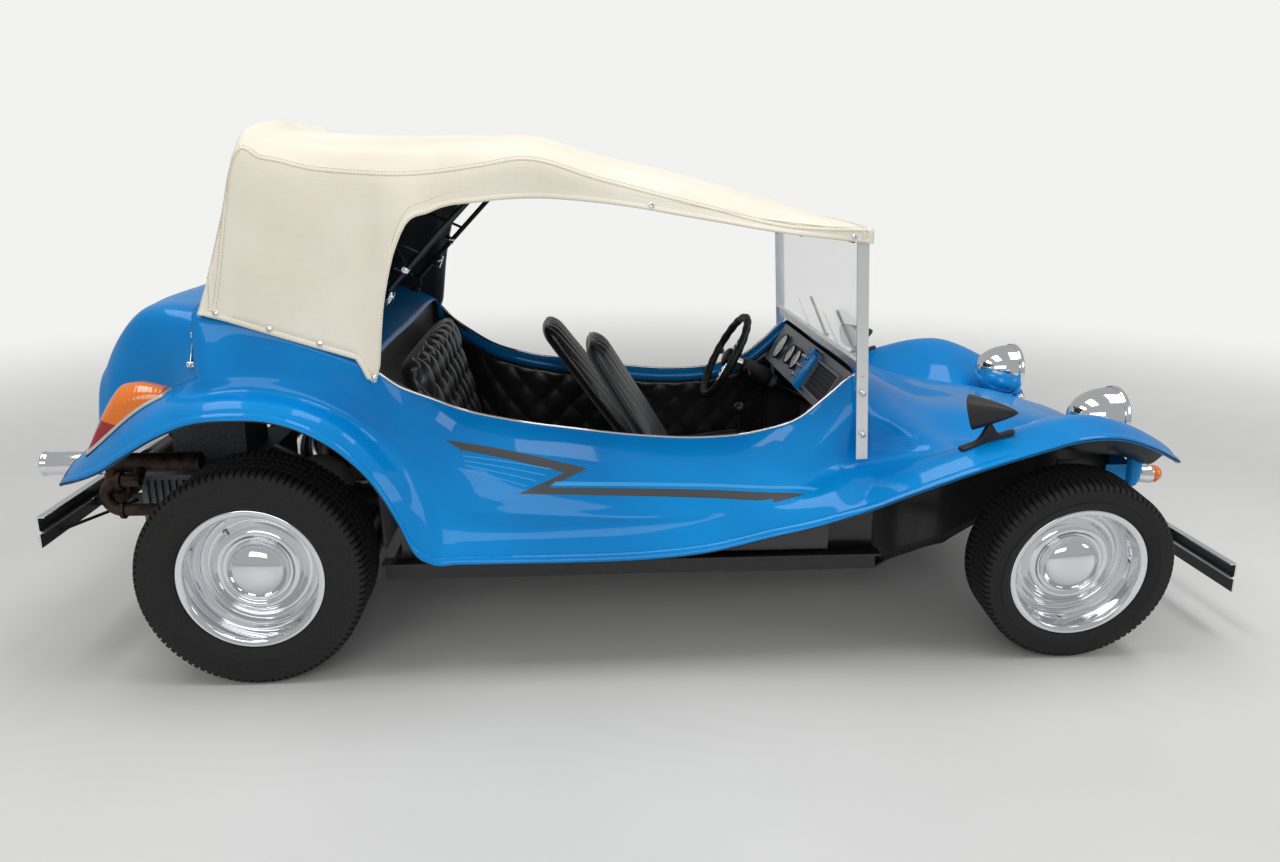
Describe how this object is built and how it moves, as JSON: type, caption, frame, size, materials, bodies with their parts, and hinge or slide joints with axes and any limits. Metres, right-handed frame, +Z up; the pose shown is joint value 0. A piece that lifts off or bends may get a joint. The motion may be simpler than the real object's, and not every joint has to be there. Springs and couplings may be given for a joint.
{
  "type": "dune buggy",
  "caption": "Open two-plus-two dune buggy with a moulded body, rear engine under a hinged cover, soft top and deep-dish wheels.",
  "frame": {"origin": "on the ground, at the middle of the overall length and width", "axes": "+X forward, +Y left, +Z up"},
  "size_m": [3.695, 1.6146, 1.5524],
  "materials": {
    "body_paint": "metallic blue gel coat, high gloss",
    "black_trim": "black vinyl panels",
    "chassis_black": "satin black paint",
    "chrome": "polished",
    "wheel_chrome": "polished",
    "tyre": "black rubber",
    "aluminium": "satin extrusion",
    "glass": "clear",
    "vinyl_seat": "black pleated vinyl",
    "canvas": "cream vinyl-coated canvas",
    "exhaust_steel": "heat-browned steel with chrome tips",
    "engine_alloy": "black tin and grey alloy",
    "lamp_lens": "amber over red lens",
    "dash_metal": "brushed"
  },
  "bodies": {
    "root": {"body_shell": "body_paint", "front_panel": "body_paint", "cockpit_tub": "black_trim", "floor_pan": "chassis_black", "front_beam": "chassis_black", "rear_suspension": "chassis_black", "engine": "engine_alloy", "exhaust": "exhaust_steel", "front_bumper": "chrome", "rear_bumper": "chrome", "windshield_frame": "aluminium", "windshield_glass": "glass", "wipers": "black_trim", "dashboard": "dash_metal", "seat_front_left": "vinyl_seat", "seat_front_right": "vinyl_seat", "seat_rear": "vinyl_seat", "steering_column": "chrome", "pedals": "black_trim", "levers": "black_trim", "soft_top": "canvas", "top_bows": "chassis_black", "headlamp_left": "chrome", "headlamp_right": "chrome", "indicators": "chrome", "tail_lamp_left": "lamp_lens", "tail_lamp_right": "lamp_lens", "mirrors": "black_trim", "cover_hinges": "chassis_black"},
    "wheel_front_left": {"tyre_front_left": "tyre", "rim_front_left": "wheel_chrome"},
    "wheel_front_right": {"tyre_front_right": "tyre", "rim_front_right": "wheel_chrome"},
    "wheel_rear_left": {"tyre_rear_left": "tyre", "rim_rear_left": "wheel_chrome"},
    "wheel_rear_right": {"tyre_rear_right": "tyre", "rim_rear_right": "wheel_chrome"},
    "knuckle_left": {"knuckle_left": "chassis_black"},
    "knuckle_right": {"knuckle_right": "chassis_black"},
    "track_rod": {"track_rod": "chassis_black"},
    "steering_wheel": {"steering_wheel": "black_trim"},
    "engine_cover": {"engine_cover": "body_paint"}
  },
  "joints": [
    {"name": "steer_left", "type": "hinge", "parent": "root", "child": "knuckle_left", "pos_m": [1.2575, 0.572, 0.29423], "axis": [0, 0, 1], "range_deg": [-26, 26]},
    {"name": "steer_right", "type": "hinge", "parent": "root", "child": "knuckle_right", "pos_m": [1.2575, -0.572, 0.29423], "axis": [0, 0, 1], "range_deg": [-26, 26]},
    {"name": "wheel_front_left_spin", "type": "hinge", "parent": "knuckle_left", "child": "wheel_front_left", "pos_m": [1.2575, 0.684, 0.29423], "axis": [0, 0.9936, -0.1132], "continuous": true},
    {"name": "wheel_front_right_spin", "type": "hinge", "parent": "knuckle_right", "child": "wheel_front_right", "pos_m": [1.2575, -0.684, 0.29423], "axis": [0, 0.9936, 0.1132], "continuous": true},
    {"name": "wheel_rear_left_spin", "type": "hinge", "parent": "root", "child": "wheel_rear_left", "pos_m": [-1.1425, 0.644, 0.321], "axis": [0, 1, 0], "continuous": true},
    {"name": "wheel_rear_right_spin", "type": "hinge", "parent": "root", "child": "wheel_rear_right", "pos_m": [-1.1425, -0.644, 0.321], "axis": [0, 1, 0], "continuous": true},
    {"name": "steering_wheel_turn", "type": "hinge", "parent": "root", "child": "steering_wheel", "pos_m": [0.3525, 0.33, 0.742], "axis": [-0.8829, 0, 0.4695], "range_deg": [-364, 364]},
    {"name": "track_rod_slide", "type": "slide", "parent": "root", "child": "track_rod", "axis": [0, 1, 0], "range_m": [-0.0546, 0.0546]},
    {"name": "engine_cover_lift", "type": "hinge", "parent": "root", "child": "engine_cover", "pos_m": [-1.2605, 0, 1.084], "axis": [0, 1, 0], "range_deg": [0, 55]}
  ],
  "couplings": [
    {"joint": "steer_right", "follows": "steer_left", "ratio": 1},
    {"joint": "steering_wheel_turn", "follows": "steer_left", "ratio": 14},
    {"joint": "track_rod_slide", "follows": "steer_left", "m_per_rad": -0.11592}
  ]
}
